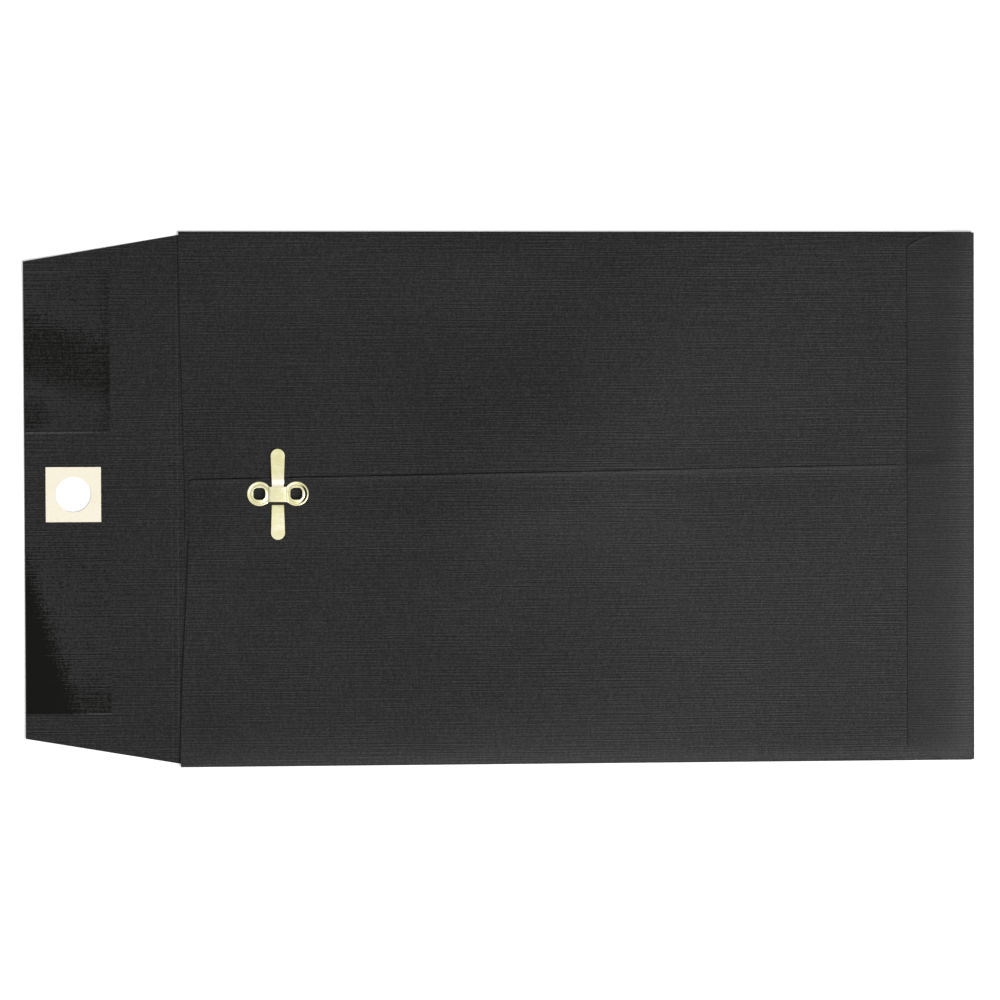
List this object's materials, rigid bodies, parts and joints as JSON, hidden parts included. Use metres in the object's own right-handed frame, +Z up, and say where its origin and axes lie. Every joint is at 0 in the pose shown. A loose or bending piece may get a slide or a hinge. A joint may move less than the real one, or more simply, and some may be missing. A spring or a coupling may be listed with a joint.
{
  "type": "clasp envelope",
  "caption": "Flat paper envelope with a pasted centre seam, a tapered gummed closure flap with a patched hole, and a metal clasp whose prongs bend up through the hole and over the flap.",
  "frame": {"origin": "on the table, under the middle of the opened envelope's outline", "axes": "+X from the flap's end to the bottom end, +Y to the upper side fold, +Z up out of the seam side"},
  "size_m": [0.2722, 0.1524, 0.002],
  "materials": {
    "linen_paper": "matte",
    "dry_paste": "satin",
    "patch_paper": "matte",
    "gum": "gloss",
    "clasp_metal": "satin"
  },
  "bodies": {
    "pocket": {"face_panel": "linen_paper", "side_fold_upper": "linen_paper", "side_fold_lower": "linen_paper", "side_panel_upper": "linen_paper", "side_panel_lower": "linen_paper", "bottom_fold": "linen_paper", "bottom_flap": "linen_paper", "seam_paste": "dry_paste", "bottom_paste": "dry_paste", "clasp_saddle": "clasp_metal", "prong_web": "clasp_metal"},
    "score_band": {"score_strip": "linen_paper"},
    "flap": {"closure_flap": "linen_paper", "hole_patch": "patch_paper", "gum_strip_upper": "gum", "gum_strip_lower": "gum"},
    "upper_prong": {"prong_upper": "clasp_metal"},
    "lower_prong": {"prong_lower": "clasp_metal"}
  },
  "joints": [
    {"name": "score_fold", "type": "hinge", "parent": "pocket", "child": "score_band", "pos_m": [-0.09255, 0, 0.0001], "axis": [0, 1, 0], "range_deg": [0, 90]},
    {"name": "flap_fold", "type": "hinge", "parent": "score_band", "child": "flap", "pos_m": [-0.09405, 0, 0.0001], "axis": [0, 1, 0], "range_deg": [0, 88]},
    {"name": "prong_upper_bend", "type": "hinge", "parent": "pocket", "child": "upper_prong", "pos_m": [-0.06435, 0.0042, 0.00145], "axis": [1, 0, 0], "range_deg": [0, 90]},
    {"name": "prong_lower_bend", "type": "hinge", "parent": "pocket", "child": "lower_prong", "pos_m": [-0.06435, -0.001, 0.00145], "axis": [-1, 0, 0], "range_deg": [0, 90]}
  ]
}
